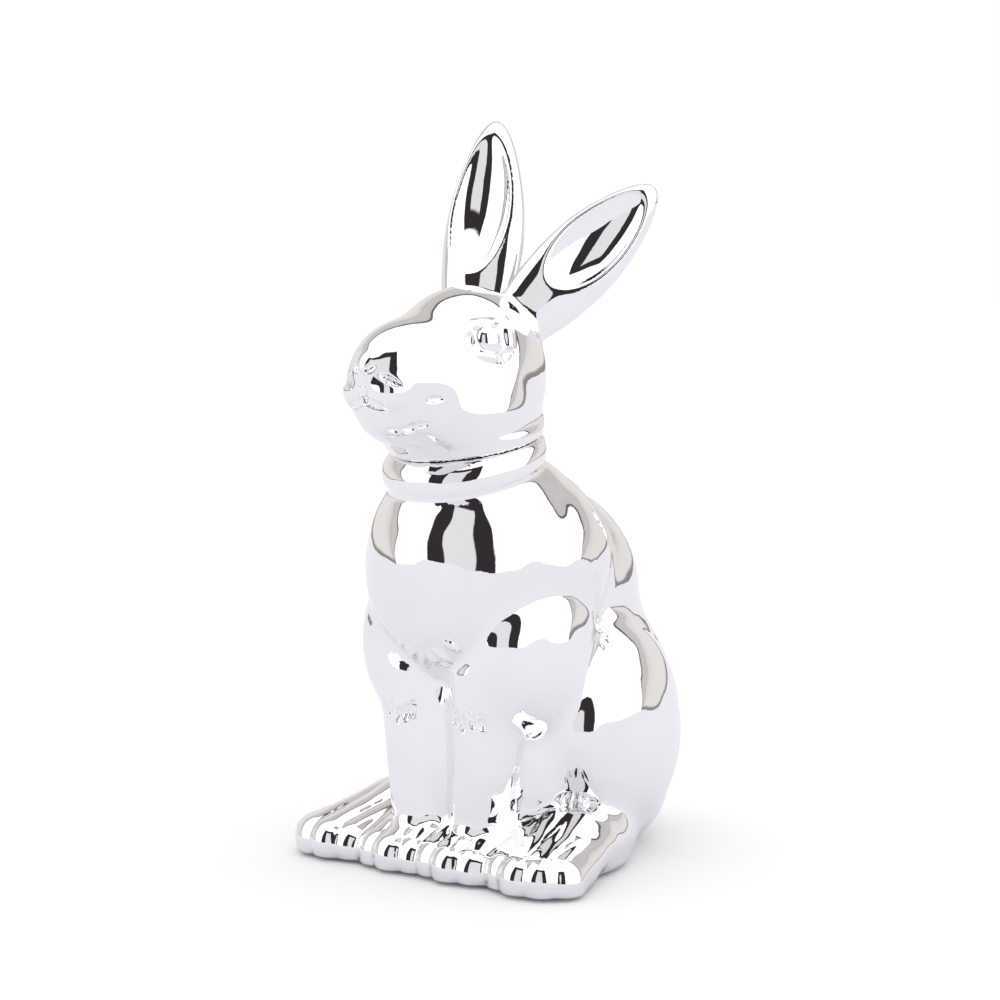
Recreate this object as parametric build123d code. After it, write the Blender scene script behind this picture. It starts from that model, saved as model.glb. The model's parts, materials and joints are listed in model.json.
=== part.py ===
"""Sitting rabbit jar: hollow ceramic body, lift-off head, silicone lid seal and four floor pads.

Millimetres, +Z up, the rabbit faces -Y and its left side is +X. It stands on Z = 0.
"""
import os
from math import cos, radians, sin

from build123d import *

# ---------------------------------------------------------------- overall and shared sizes
CENTRE_Y = 11.0            # sculpt datum moved so that nose and tail are equally far from Y = 0
WALL = 4.5                 # slip-cast wall of body and head
FLOOR = 6.0                # thickness of the jar floor above its flat underside
SOLIDS_REACH = 400.0       # side of the blocks that trim the sculpt at the floor and the seam

# ---------------------------------------------------------------- floor pads
PAD_RADIUS = 6.5
PAD_THICKNESS = 1.5
PAD_FRONT_XY = (16.0, -38.0)
PAD_REAR_XY = (24.0, 56.0)

# ---------------------------------------------------------------- seam between jar and head
SEAM_TILT = 11.0           # lean of the lid axis towards the face, degrees
SEAM_CENTRE = (0.0, -17.0, 174.0)
SEAM_GAP = 0.4             # head base stands this far above the jar rim, carried by the seal
BORE_RADIUS = 26.5         # neck bore that takes the lid
BORE_DEPTH = 42.0
NECK_WALL = 5.1            # wall of the neck at the rim
RIM_RADIUS = BORE_RADIUS + NECK_WALL
RIM_DEPTH = 4.0
BAND_STEP = 1.1            # the head's lowest band stands this far inside the rim
BAND_RADIUS = RIM_RADIUS - BAND_STEP
BAND_HEIGHT = 12.0

# ---------------------------------------------------------------- collar bulge under the seam
COLLAR_TILT = 17.0
COLLAR_CENTRE = (0.0, -18.5, 167.0)
COLLAR_SWELL = 11.0
COLLAR_PROUD = 2.4         # the swell stands this far outside the rim
COLLAR_RING_RADIUS = RIM_RADIUS + COLLAR_PROUD - COLLAR_SWELL
COLLAR_HALF_HEIGHT = 9.5

# ---------------------------------------------------------------- spigot and seal
SPIGOT_CLEARANCE = 2.6     # radial room between spigot and neck bore, filled by the seal
SPIGOT_RADIUS = BORE_RADIUS - SPIGOT_CLEARANCE
SPIGOT_WALL = 3.6
SPIGOT_LENGTH = 20.0
GROOVE_TOP = 5.0           # groove starts this far under the head base
GROOVE_HEIGHT = 8.0
GROOVE_DEPTH = 1.4
SEAL_SEAT = 0.05           # running fit of the seal round the groove floor, radial
SEAL_SIDE = 0.1            # play of the seal between the groove walls, each side
SEAL_BORE_CLEARANCE = 0.3  # radial room between the seal ribs and the jar bore
SEAL_RIB_RISE = 1.0        # how far the ribs stand out of the seal band
SEAL_RIBS = 3

# ---------------------------------------------------------------- torso lumps: centre, radii, turn
BODY_HALF_WIDTH = 51.0
RUMP_HALF_HEIGHT = 58.0
RUMP = ((0, 46, 56), (BODY_HALF_WIDTH, 52, RUMP_HALF_HEIGHT), (10, 0, 0))
BASE = ((0, 38, 24), (BODY_HALF_WIDTH - 1, 56, 34), (0, 0, 0))
BACK = ((0, 32, 108), (42, 42, 46), (-20, 0, 0))
CHEST = ((0, -9, 122), (47, 46, 52), (12, 0, 0))
RUFF = ((0, 3, 124), (49, 45, 44), (0, 0, 0))
NECK_RUFF = ((0, 2, 150), (35, 29, 22), (-22, 0, 0))
TAIL = ((0, 92, 26), (16, 12, 15), (0, 0, 0))

# ---------------------------------------------------------------- paired limb lumps (left side)
HAUNCH = ((40, 30, 54), (25, 40, 46), (10, 0, 8))
SHOULDER = ((27, -9, 92), (24, 32, 38), (0, 0, 0))
LEG_TOP = (19.4, -23.0, 84.0)
LEG_FOOT = (17.5, -29.0, 12.0)
LEG_TOP_RADIUS = 18.0
LEG_FOOT_RADIUS = 13.2
FRONT_PAW = ((16, -38, 9), (13, 17, 9.5), (0, 0, 0))
FRONT_TOES = (
    ((7.0, -47.5, 6.5), (4.2, 8.5, 6.5), (8, 0, 0)),
    ((13.0, -50.0, 6.5), (4.8, 8.5, 6.5), (8, 0, 0)),
    ((19.5, -50.0, 6.5), (4.8, 8.5, 6.5), (8, 0, 0)),
    ((25.5, -47.0, 6.5), (4.2, 8.5, 6.5), (8, 0, 0)),
)
HIND_FOOT = ((46.5, -10, 10), (15, 42, 13), (0, 0, 14))
HIND_TOES = (
    ((43.0, -44.5, 7.5), (4.6, 10, 7.5), (8, 0, 8)),
    ((50.2, -48.0, 7.5), (5.2, 10, 7.5), (8, 0, 8)),
    ((58.0, -48.0, 7.5), (5.2, 10, 7.5), (8, 0, 8)),
    ((65.5, -44.0, 7.5), (4.6, 10, 7.5), (8, 0, 8)),
)

# ---------------------------------------------------------------- head lumps
SKULL = ((0, -17, 206), (33, 37, 33), (0, 0, 0))
MUZZLE = ((0, -53, 203), (22, 28, 24), (-8, 0, 0))
NOSE = ((0, -75, 206), (8.5, 7, 7.5), (0, 0, 0))
CHIN = ((0, -61, 187), (11, 13, 8), (0, 0, 0))
CHEEK = ((14, -37, 196), (18, 24, 20), (0, 0, 0))
WHISKER_PAD = ((7.5, -71, 197), (8.5, 9, 8.5), (0, 0, 0))
EYE = ((25, -33.5, 217), (7, 7.5, 7.5), (0, 0, 0))

# ---------------------------------------------------------------- ears: root, tip, width, facing
EAR_LEFT = ((14, 5, 226), (53, 40, 277), 33.0, (0.35, -1.0, 0.1))
EAR_RIGHT = ((-13, 6, 222), (-27, 37, 308), 36.0, (0.1, -1.0, 0.2))
EAR_THICKNESS = 8.0        # half thickness of the ear blank
EAR_RIM = 2.8              # width of the raised rim round the hollow
EAR_TIP_RIM = 6.0          # rim at the root and tip ends of the hollow
EAR_HOLLOW_OFFSET = 9.6    # how far in front of the ear the hollowing ellipsoid sits
EAR_HOLLOW_DEPTH = 11.0    # its half depth

# Which way the poles of a ball point, so that no seam of the surface crosses a join.
UPRIGHT = Rot(0, 0, 0)
FORWARD = Rot(90, 0, 0)


def at(point):
    """Place a sculpt point in the part's frame."""
    x, y, z = point
    return (x, y - CENTRE_Y, z)


def ellipsoid(lump, inset=0.0, poles=UPRIGHT):
    """Make one ellipsoid of the sculpt, shrunk on every side by the inset."""
    centre, radii, turn = lump
    a, b, c = (radius - inset for radius in radii)
    ball = poles * Sphere(1.0)
    return Pos(*at(centre)) * Rot(*turn) * scale(ball, by=(a, b, c))


def joined(solids):
    """Fuse a list of overlapping solids into one."""
    first, *others = solids
    return first.fuse(*others)


def mirrored(solid):
    """Make the same solid on the rabbit's right side."""
    return mirror(solid, about=Plane.YZ)


def both_sides(solids):
    """Return the left-side solids followed by their right-side mirror images."""
    return list(solids) + [mirrored(solid) for solid in solids]


def tilted_plane(centre, tilt):
    """Return the plane square to an axis that leans forward by the tilt."""
    lean = radians(tilt)
    return Plane(origin=at(centre), x_dir=(1, 0, 0), z_dir=(0, -sin(lean), cos(lean)))


def tube(plane, outer, inner, bottom, top):
    """Make a tube round the plane's axis between two heights."""
    height = top - bottom
    middle = (top + bottom) / 2
    body = Cylinder(outer, height)
    if inner > 0:
        body = body - Cylinder(inner, height)
    return plane.location * Pos(0, 0, middle) * body


def half_space(plane, above):
    """Make the block that fills the space above or below a plane."""
    side = 1 if above else -1
    block = Box(SOLIDS_REACH, SOLIDS_REACH, SOLIDS_REACH)
    return plane.location * Pos(0, 0, side * SOLIDS_REACH / 2) * block


SEAM = tilted_plane(SEAM_CENTRE, SEAM_TILT)
COLLAR = tilted_plane(COLLAR_CENTRE, COLLAR_TILT)


def torso_outside():
    """Join the big lumps of the trunk with its tail."""
    lumps = (RUMP, BASE, BACK, CHEST, RUFF, NECK_RUFF, TAIL)
    return joined([ellipsoid(lump) for lump in lumps])


def front_leg():
    """Make one straight front leg between the shoulder and the paw."""
    top = Vector(*at(LEG_TOP))
    foot = Vector(*at(LEG_FOOT))
    axis = top - foot
    taper = Cone(LEG_FOOT_RADIUS, LEG_TOP_RADIUS, axis.length)
    shaft = Plane(origin=(top + foot) / 2, z_dir=axis).location * taper
    knuckle = Pos(*top) * Sphere(LEG_TOP_RADIUS)
    return shaft.fuse(knuckle)


def limbs():
    """Make the haunches, shoulders, legs, paws and toes of both sides."""
    left = [ellipsoid(lump) for lump in (HAUNCH, SHOULDER, FRONT_PAW, HIND_FOOT)]
    left += [ellipsoid(toe) for toe in FRONT_TOES + HIND_TOES]
    left.append(front_leg())
    return both_sides(left)


def collar():
    """Make the swollen ring under the seam with the flat rim the head meets."""
    swell = Ellipse(COLLAR_SWELL, COLLAR_HALF_HEIGHT)
    profile = Plane.XZ * Pos(COLLAR_RING_RADIUS, 0) * swell
    ring = COLLAR.location * revolve(profile, Axis.Z)
    core = tube(COLLAR, COLLAR_RING_RADIUS, 0, -COLLAR_HALF_HEIGHT, COLLAR_HALF_HEIGHT)
    rim = tube(SEAM, RIM_RADIUS, 0, -RIM_DEPTH, 0)
    return joined([ring, core, rim])


def jar_cavity():
    """Make the space inside the jar: hollow trunk, flat floor and neck bore."""
    lumps = (RUMP, BACK, CHEST)
    hollow = joined([ellipsoid(lump, WALL) for lump in lumps])
    floor = Plane.XY.offset(PAD_THICKNESS + FLOOR)
    hollow = hollow - half_space(floor, above=False)
    bore = tube(SEAM, BORE_RADIUS, 0, -BORE_DEPTH, 1.0)
    return hollow.fuse(bore)


def jar_body():
    """Make the hollow rabbit body up to the seam."""
    outside = torso_outside().fuse(*limbs(), collar())
    outside = outside - half_space(SEAM, above=True)
    outside = outside - half_space(Plane.XY.offset(PAD_THICKNESS), above=False)
    return outside - jar_cavity()


def ear(root, tip, width, facing):
    """Make one ear: a flattened blank with a hollow on the side it faces."""
    root = Vector(*at(root))
    tip = Vector(*at(tip))
    along = tip - root
    length = along.length
    along = along.normalized()
    face = Vector(*facing)
    face = (face - along * face.dot(along)).normalized()
    frame = Plane(origin=(root + tip) / 2, x_dir=face.cross(along), z_dir=face).location
    half_width = width / 2
    half_length = length / 2
    blank = scale(Sphere(1.0), by=(half_width, half_length, EAR_THICKNESS))
    hollow_size = (half_width - EAR_RIM, half_length - EAR_TIP_RIM, EAR_HOLLOW_DEPTH)
    hollow = Pos(0, 0, EAR_HOLLOW_OFFSET) * scale(Sphere(1.0), by=hollow_size)
    return frame * (blank - hollow)


def head_outside():
    """Join the skull, face, ears and the neck band above the seam."""
    face = [ellipsoid(lump, poles=FORWARD) for lump in (SKULL, MUZZLE, NOSE, CHIN)]
    pairs = [ellipsoid(lump, poles=FORWARD) for lump in (CHEEK, WHISKER_PAD, EYE)]
    band = tube(SEAM, BAND_RADIUS, 0, SEAM_GAP, BAND_HEIGHT)
    ears = [ear(*EAR_LEFT), ear(*EAR_RIGHT)]
    return joined(face + both_sides(pairs) + [band] + ears)


def head_cavity():
    """Make the space inside the head and down through the spigot."""
    hollow = joined([ellipsoid(lump, WALL, FORWARD) for lump in (SKULL, MUZZLE)])
    band_top = SEAM.offset(SEAM_GAP + WALL)
    hollow = hollow - half_space(band_top, above=False)
    throat = tube(SEAM, SPIGOT_RADIUS - SPIGOT_WALL, 0, -SPIGOT_LENGTH - 1.0, BAND_HEIGHT)
    return hollow.fuse(throat)


def spigot():
    """Make the locating spigot under the head, with its seal groove."""
    tall = tube(SEAM, SPIGOT_RADIUS, 0, -SPIGOT_LENGTH, SEAM_GAP + WALL)
    groove_floor = SPIGOT_RADIUS - GROOVE_DEPTH
    groove_bottom = -GROOVE_TOP - GROOVE_HEIGHT
    groove = tube(SEAM, SPIGOT_RADIUS + 1.0, groove_floor, groove_bottom, -GROOVE_TOP)
    return tall - groove


def head_lid():
    """Make the lift-off head."""
    base = SEAM.offset(SEAM_GAP)
    outside = head_outside() - half_space(base, above=False)
    return outside.fuse(spigot()) - head_cavity()


def lid_seal():
    """Make the ribbed silicone ring that grips the jar bore."""
    inner = SPIGOT_RADIUS - GROOVE_DEPTH + SEAL_SEAT
    outer = BORE_RADIUS - SEAL_BORE_CLEARANCE
    band = outer - SEAL_RIB_RISE
    top = -GROOVE_TOP - SEAL_SIDE
    bottom = -GROOVE_TOP - GROOVE_HEIGHT + SEAL_SIDE
    pitch = (top - bottom) / SEAL_RIBS
    points = [(inner, bottom), (band, bottom)]
    for rib in range(SEAL_RIBS):
        start = bottom + rib * pitch
        points.append((band, start + 0.15 * pitch))
        points.append((outer, start + 0.4 * pitch))
        points.append((outer, start + 0.6 * pitch))
        points.append((band, start + 0.85 * pitch))
    points += [(band, top), (inner, top)]
    profile = Plane.XZ * make_face(Polyline(*points, close=True))
    return SEAM.location * revolve(profile, Axis.Z)


def floor_pad(spot, side):
    """Make one round floor pad under a paw or under the rump."""
    x, y = spot
    px, py, _ = at((side * x, y, 0))
    return Pos(px, py, PAD_THICKNESS / 2) * Cylinder(PAD_RADIUS, PAD_THICKNESS)


os.makedirs("parts", exist_ok=True)
export_step(jar_body(), "parts/jar_body.step")
export_step(head_lid(), "parts/head_lid.step")
export_step(lid_seal(), "parts/lid_seal.step")
export_step(floor_pad(PAD_FRONT_XY, 1), "parts/pad_front_left.step")
export_step(floor_pad(PAD_FRONT_XY, -1), "parts/pad_front_right.step")
export_step(floor_pad(PAD_REAR_XY, 1), "parts/pad_rear_left.step")
export_step(floor_pad(PAD_REAR_XY, -1), "parts/pad_rear_right.step")
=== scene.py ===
"""Mirror-silver sitting rabbit jar: sculpted ceramic body, lift-off head, silicone seal and felt pads.

The rabbit faces -Y, its left side is +X and it stands on Z = 0. Sculpt sizes are millimetres and the
finished meshes are metres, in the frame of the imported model.
"""
import json
import logging
import math
from contextlib import contextmanager
from dataclasses import dataclass, field, replace
from enum import Enum
from typing import Callable, Iterable, Iterator, Sequence

import bpy
import numpy as np
from mathutils import Euler, Matrix, Vector

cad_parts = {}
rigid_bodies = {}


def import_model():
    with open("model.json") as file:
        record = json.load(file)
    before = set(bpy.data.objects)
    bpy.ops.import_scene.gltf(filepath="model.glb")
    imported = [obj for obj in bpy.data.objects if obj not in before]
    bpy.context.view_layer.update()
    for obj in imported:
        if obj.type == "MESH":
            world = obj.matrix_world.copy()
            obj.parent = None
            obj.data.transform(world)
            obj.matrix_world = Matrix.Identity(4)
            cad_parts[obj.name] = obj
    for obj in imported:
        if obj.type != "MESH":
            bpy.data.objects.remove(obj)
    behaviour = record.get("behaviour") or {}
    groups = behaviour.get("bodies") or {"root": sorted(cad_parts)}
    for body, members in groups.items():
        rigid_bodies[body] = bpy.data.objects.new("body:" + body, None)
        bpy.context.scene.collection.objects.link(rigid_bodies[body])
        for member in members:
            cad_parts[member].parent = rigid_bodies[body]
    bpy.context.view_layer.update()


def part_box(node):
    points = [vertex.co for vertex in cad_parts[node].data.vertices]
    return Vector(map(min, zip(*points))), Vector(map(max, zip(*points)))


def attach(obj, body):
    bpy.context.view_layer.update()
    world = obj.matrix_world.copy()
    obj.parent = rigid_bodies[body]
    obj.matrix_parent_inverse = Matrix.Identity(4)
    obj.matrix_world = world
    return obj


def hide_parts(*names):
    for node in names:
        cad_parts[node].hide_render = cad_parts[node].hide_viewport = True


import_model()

LOG = logging.getLogger("rabbit_jar")

Vec3 = tuple[float, float, float]
Span = tuple[float, float]
Socket = bpy.types.NodeSocket

MM = 0.001                        # one millimetre in metres
SCULPT_DATUM = (0.0, -11.0, 0.0)  # where the sculpt's own zero lies in the frame
PAD_NODES = ("pad_front_left", "pad_front_right", "pad_rear_left", "pad_rear_right")
PAD_THICKNESS = 1.5

FAR = 1e3                         # a distance beyond every lump
LEAST_NEAR = 1e-9                 # keeps a ball's own centre out of a division by zero
LEAST_STEEP = 1e-12
PAIR_SOFTNESS = 0.45              # rounding of the crease between mirrored lumps
HOLLOW_EDGE = 0.8                 # rounding of the lip where a hollow opens
SLOPE_STEP = 0.06                 # sampling distance for surface slopes
LEAST_SLOPE = 0.25                # flattest slope that a step is measured against
LONGEST_STEP = 3.0                # furthest that one step may move a point
KEPT_SHARE, EVENED_SHARE = 0.45, 0.55  # how far a point goes to its neighbours' middle
MARK_ROUNDS = 8                   # steps that bring a mark onto the surface
ROUGH_FACES = 1.4                 # size of the first rough faces over the final ones
WIDE_ROOM, CLOSE_ROOM = 1.5, 0.9  # room round a mark that is split once, then twice
WIDE_ROUNDS, CLOSE_ROUNDS = 3, 7  # rounds that settle each split
CALM_ROUNDS = 6                   # last rounds, which even the points out only once
DRAWN_ROUNDS = 2                  # last rounds, which only draw the points in
BALL_SEGMENTS, BALL_RINGS = 40, 24
ROUND_SEGMENTS = 64
RING_SWELL, RING_HEIGHT = 0.8, 1.5  # size of the rough block that stands for a ring


# --------------------------------------------------------------------------- distances
def lean_axis(degrees: float) -> np.ndarray:
    """Return the unit axis that leans forward from vertical by the angle."""
    angle = math.radians(degrees)
    return np.array([0.0, -math.sin(angle), math.cos(angle)])


def unit(vector: Sequence[float]) -> np.ndarray:
    """Return the vector scaled to length one."""
    array = np.array(vector, float)
    return array / np.linalg.norm(array)


def length_of(points: np.ndarray) -> np.ndarray:
    """Return the length of each row."""
    return np.sqrt(np.einsum("ij,ij->i", points, points))


def blend_min(a: np.ndarray, b: np.ndarray, soft: float) -> np.ndarray:
    """Join two distances with a rounded inner corner of the width soft."""
    h = np.clip(soft - np.abs(a - b), 0.0, None) / soft
    return np.minimum(a, b) - h * h * h * soft / 6.0


def blend_max(a: np.ndarray, b: np.ndarray, soft: float) -> np.ndarray:
    """Keep what lies inside both, with a rounded outer corner of the width soft."""
    return -blend_min(-a, -b, soft)


def oval_distance(local: np.ndarray, radii: Vec3) -> np.ndarray:
    """Return the distance of points from an ellipsoid about zero.

    Args:
        local: Points in the ellipsoid's own axes.
        radii: Its half sizes.

    Returns:
        How far each point lies outside it, exact near the surface.
    """
    size = np.array(radii)
    near = length_of(local / size) + LEAST_NEAR
    steep = length_of(local / (size * size)) + LEAST_STEEP
    return near * (near - 1.0) / steep


def around(points: np.ndarray, centre: Vec3, lean: float) -> tuple[np.ndarray, np.ndarray]:
    """Measure points against a leaning axis.

    Args:
        points: The points.
        centre: Where the axis starts.
        lean: Its lean in degrees.

    Returns:
        Each point's height along the axis, and its distance from it.
    """
    offset = points - np.array(centre)
    axis = lean_axis(lean)
    height = offset @ axis
    return height, length_of(offset - height[:, None] * axis)


def hand_ripple(points: np.ndarray) -> np.ndarray:
    """Give the slow unevenness of a hand-finished glaze, as crossed waves 14 to 70 mm long.

    Args:
        points: Places on the surface.

    Returns:
        The height of the ripple at each, about -2 to 2.
    """
    x, y, z = points[:, 0], points[:, 1], points[:, 2]
    ripple = np.sin(x * 0.21 + 1.3 * np.sin(z * 0.09)) * np.sin(z * 0.17 + 0.7)
    ripple += 0.7 * np.sin(y * 0.27 + 0.9 * np.sin(x * 0.13)) * np.sin(z * 0.23 + x * 0.05)
    ripple += 0.4 * np.sin(x * 0.45 + 2.0) * np.sin(y * 0.41) * np.sin(z * 0.37)
    return ripple


def evened(points: np.ndarray, edges: np.ndarray) -> np.ndarray:
    """Even out the spacing of points by moving each towards its neighbours' middle.

    Args:
        points: Positions of all vertices.
        edges: Vertex pairs of all edges.

    Returns:
        The moved points.
    """
    count = np.bincount(edges.ravel(), minlength=len(points)).astype(float)
    mean = np.empty_like(points)
    for axis in range(3):
        total = np.bincount(edges[:, 0], points[edges[:, 1], axis], len(points))
        total += np.bincount(edges[:, 1], points[edges[:, 0], axis], len(points))
        mean[:, axis] = total / count
    return KEPT_SHARE * points + EVENED_SHARE * mean


# --------------------------------------------------------------------------- modelling by operators
def select_only(piece: bpy.types.Object | None) -> None:
    """Select one piece and make it the active one, or leave nothing selected."""
    bpy.ops.object.select_all(action="DESELECT")
    if piece:
        piece.select_set(True)
        bpy.context.view_layer.objects.active = piece


@contextmanager
def edit_mode(everything: bool = False) -> Iterator[None]:
    """Work on the active mesh in edit mode, with all of it selected if asked, then leave."""
    bpy.ops.object.mode_set(mode="EDIT")
    if everything:
        bpy.ops.mesh.select_all(action="SELECT")
    yield
    bpy.ops.object.mode_set(mode="OBJECT")


def leaning_place(centre: Vec3, lean: float) -> Matrix:
    """Return the placement of a shape whose own axis leans forward."""
    return Matrix.Translation(centre) @ Matrix.Rotation(math.radians(lean), 4, "X")


def to_metres(place: Matrix) -> Matrix:
    """Turn a placement in sculpt millimetres into one in frame metres."""
    return Matrix.Scale(MM, 4) @ Matrix.Translation(SCULPT_DATUM) @ place


def sculpt_points(elements: bpy.types.bpy_prop_collection, key: str) -> np.ndarray:
    """Read the places of mesh elements.

    Args:
        elements: The vertices or faces of a mesh.
        key: The name of their place: "co" or "center".

    Returns:
        One row for each, in sculpt millimetres.
    """
    flat = np.empty(len(elements) * 3)
    elements.foreach_get(key, flat)
    return flat.reshape(-1, 3) / MM - np.array(SCULPT_DATUM)


def add_ball(place: Matrix) -> None:
    """Add a unit ball at a placement."""
    bpy.ops.mesh.primitive_uv_sphere_add(segments=BALL_SEGMENTS, ring_count=BALL_RINGS, radius=1.0)
    bpy.context.object.data.transform(to_metres(place))


def add_cone(place: Matrix, start: float, end: float, length: float) -> None:
    """Add a block that tapers between two radii along its own Z."""
    bpy.ops.mesh.primitive_cone_add(
        vertices=BALL_SEGMENTS, radius1=start, radius2=end, depth=length)
    bpy.context.object.data.transform(to_metres(place))


def add_cylinder(place: Matrix, radius: float, height: float) -> None:
    """Add a round block along its own Z."""
    bpy.ops.mesh.primitive_cylinder_add(vertices=ROUND_SEGMENTS, radius=radius, depth=height)
    bpy.context.object.data.transform(to_metres(place))


def apply_modifier(piece: bpy.types.Object, kind: str, **settings: object) -> None:
    """Add a modifier to a piece and apply it.

    Args:
        piece: The piece to change.
        kind: Blender's name for the kind of modifier.
        settings: Its properties.
    """
    modifier = piece.modifiers.new(kind.lower(), kind)
    for key, value in settings.items():
        setattr(modifier, key, value)
    bpy.context.view_layer.objects.active = piece
    bpy.ops.object.modifier_apply(modifier=modifier.name)


def apply_remesh(piece: bpy.types.Object, voxel: float) -> None:
    """Fuse all shells of a piece into one even skin with faces of about the voxel's size."""
    apply_modifier(piece, "REMESH", mode="VOXEL", voxel_size=voxel * MM)


def apply_cut(piece: bpy.types.Object, cutter: bpy.types.Object, way: str) -> None:
    """Cut a closed piece out of another, or join them, and remove the cutter."""
    apply_modifier(piece, "BOOLEAN", operation=way, solver="EXACT", object=cutter)
    bpy.data.objects.remove(cutter)


def apply_trim(piece: bpy.types.Object, centre: Vec3, normal: Vec3) -> None:
    """Cut away what lies past a plane and close the cut.

    Args:
        piece: The closed piece.
        centre: A point of the plane, in sculpt millimetres.
        normal: The way out of the plane.
    """
    select_only(piece)
    spot = to_metres(Matrix.Translation(centre)).translation
    with edit_mode(everything=True):
        bpy.ops.mesh.bisect(plane_co=spot, plane_no=normal, use_fill=True, clear_outer=True)


def select_faces(piece: bpy.types.Object, chosen: np.ndarray) -> None:
    """Select only the chosen faces of a piece, ready for edit mode.

    Args:
        piece: The piece, which becomes the active one.
        chosen: True for each face to select.
    """
    select_only(piece)
    mesh = piece.data
    mesh.vertices.foreach_set("select", np.zeros(len(mesh.vertices), dtype=bool))
    mesh.edges.foreach_set("select", np.zeros(len(mesh.edges), dtype=bool))
    mesh.polygons.foreach_set("select", chosen)
    with edit_mode():
        bpy.ops.mesh.select_mode(type="FACE")
    mesh.polygons.foreach_set("select", chosen)


def joined_clay(name: str, makers: Iterable[Callable[[], None]]) -> bpy.types.Object:
    """Add lumps as primitives and join them into one object.

    Args:
        name: Name of the object.
        makers: What adds each lump.

    Returns:
        The object, whose lumps still overlap, with all faces pointing out.
    """
    select_only(None)
    before = set(bpy.data.objects)
    for add in makers:
        add()
    made = [thing for thing in bpy.data.objects if thing not in before]
    select_only(made[0])
    for thing in made:
        thing.select_set(True)
    bpy.ops.object.join()
    piece = bpy.context.object
    piece.name = piece.data.name = name
    with edit_mode(everything=True):
        bpy.ops.mesh.normals_make_consistent(inside=False)
    return piece


# --------------------------------------------------------------------------- lumps of clay
class Stroke(Enum):
    """How a lump works on the clay before it."""

    ADD = "add"
    CARVE = "carve"

    def work(self, total: np.ndarray, value: np.ndarray, soft: float) -> np.ndarray:
        """Work a lump's distances into the clay's.

        Args:
            total: Distance of each point from the clay so far.
            value: Distance of each point from the lump.
            soft: Rounding of the join.

        Returns:
            The distance of each point from the worked clay.
        """
        if self is Stroke.ADD:
            return blend_min(total, value, soft)
        return blend_max(total, -value, soft)


@dataclass(frozen=True, kw_only=True)
class Clay:
    """What all lumps share: the rounding of their join, whether they have a twin, and the stroke."""

    soft: float = 4.0
    paired: bool = False
    stroke: Stroke = Stroke.ADD

    def distance(self, points: np.ndarray) -> np.ndarray:
        """Return how far each point lies outside the lump."""
        raise NotImplementedError

    def add_clay(self) -> None:
        """Add the lump to the rough form."""
        raise NotImplementedError

    def flips(self) -> list[Matrix]:
        """Return what places the lump, and its twin when it is paired."""
        sides = (1.0, -1.0) if self.paired else (1.0,)
        return [Matrix.Diagonal((side, 1.0, 1.0, 1.0)) for side in sides]


def blended(lumps: Iterable[Clay], points: np.ndarray) -> np.ndarray:
    """Join lumps softly, one after another.

    Args:
        lumps: The lumps.
        points: Where to measure.

    Returns:
        How far each point lies outside them all.
    """
    total = np.full(len(points), FAR)
    for lump in lumps:
        total = blend_min(total, lump.distance(points), lump.soft)
    return total


@dataclass(frozen=True)
class Lump(Clay):
    """One ball of clay, stretched and turned."""

    centre: Vec3
    radii: Vec3
    turn: Vec3 = (0.0, 0.0, 0.0)

    def axes(self) -> np.ndarray:
        """Return the lump's own axes as columns."""
        return np.array(Euler([math.radians(v) for v in self.turn], "XYZ").to_matrix())

    def distance(self, points: np.ndarray) -> np.ndarray:
        """Return how far each point lies outside the lump."""
        return oval_distance((points - np.array(self.centre)) @ self.axes(), self.radii)

    def add_clay(self) -> None:
        """Add the lump as a stretched ball, and its twin when it is paired."""
        turn = Matrix(self.axes().tolist()).to_4x4()
        for flip in self.flips():
            size = Matrix.Diagonal([*self.radii, 1.0])
            add_ball(flip @ Matrix.Translation(self.centre) @ turn @ size)


@dataclass(frozen=True)
class Limb(Clay):
    """A round limb that tapers between two ball joints."""

    start: Vec3
    end: Vec3
    start_radius: float
    end_radius: float

    def distance(self, points: np.ndarray) -> np.ndarray:
        """Return how far each of the points lies outside the limb."""
        start = np.array(self.start)
        along = np.array(self.end) - start
        share = np.clip(((points - start) @ along) / (along @ along), 0.0, 1.0)
        radius = self.start_radius + share * (self.end_radius - self.start_radius)
        return length_of(points - start - share[:, None] * along) - radius

    def add_clay(self) -> None:
        """Add the limb as a cone with a ball at each end."""
        start, end = Vector(self.start), Vector(self.end)
        along = end - start
        turn = along.to_track_quat("Z", "Y").to_matrix().to_4x4()
        for flip in self.flips():
            place = flip @ Matrix.Translation((start + end) / 2) @ turn
            add_cone(place, self.start_radius, self.end_radius, along.length)
            for spot, radius in ((start, self.start_radius), (end, self.end_radius)):
                size = Matrix.Diagonal([radius] * 3 + [1.0])
                add_ball(flip @ Matrix.Translation(spot) @ size)


@dataclass(frozen=True)
class Ring(Clay):
    """A ring with an oval section round a leaning axis."""

    centre: Vec3
    lean: float
    ring_radius: float
    swell: float
    half_height: float

    def distance(self, points: np.ndarray) -> np.ndarray:
        """Return how far each of the points lies outside the ring."""
        height, radius = around(points, self.centre, self.lean)
        across = (radius - self.ring_radius) / self.swell
        up = height / self.half_height
        near = np.sqrt(across * across + up * up) + LEAST_NEAR
        steep = np.sqrt((across / self.swell) ** 2 + (up / self.half_height) ** 2) + LEAST_STEEP
        return near * (near - 1.0) / steep

    def add_clay(self) -> None:
        """Add the ring as a short round block."""
        radius = self.ring_radius + RING_SWELL * self.swell
        add_cylinder(leaning_place(self.centre, self.lean), radius, RING_HEIGHT * self.half_height)


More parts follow.
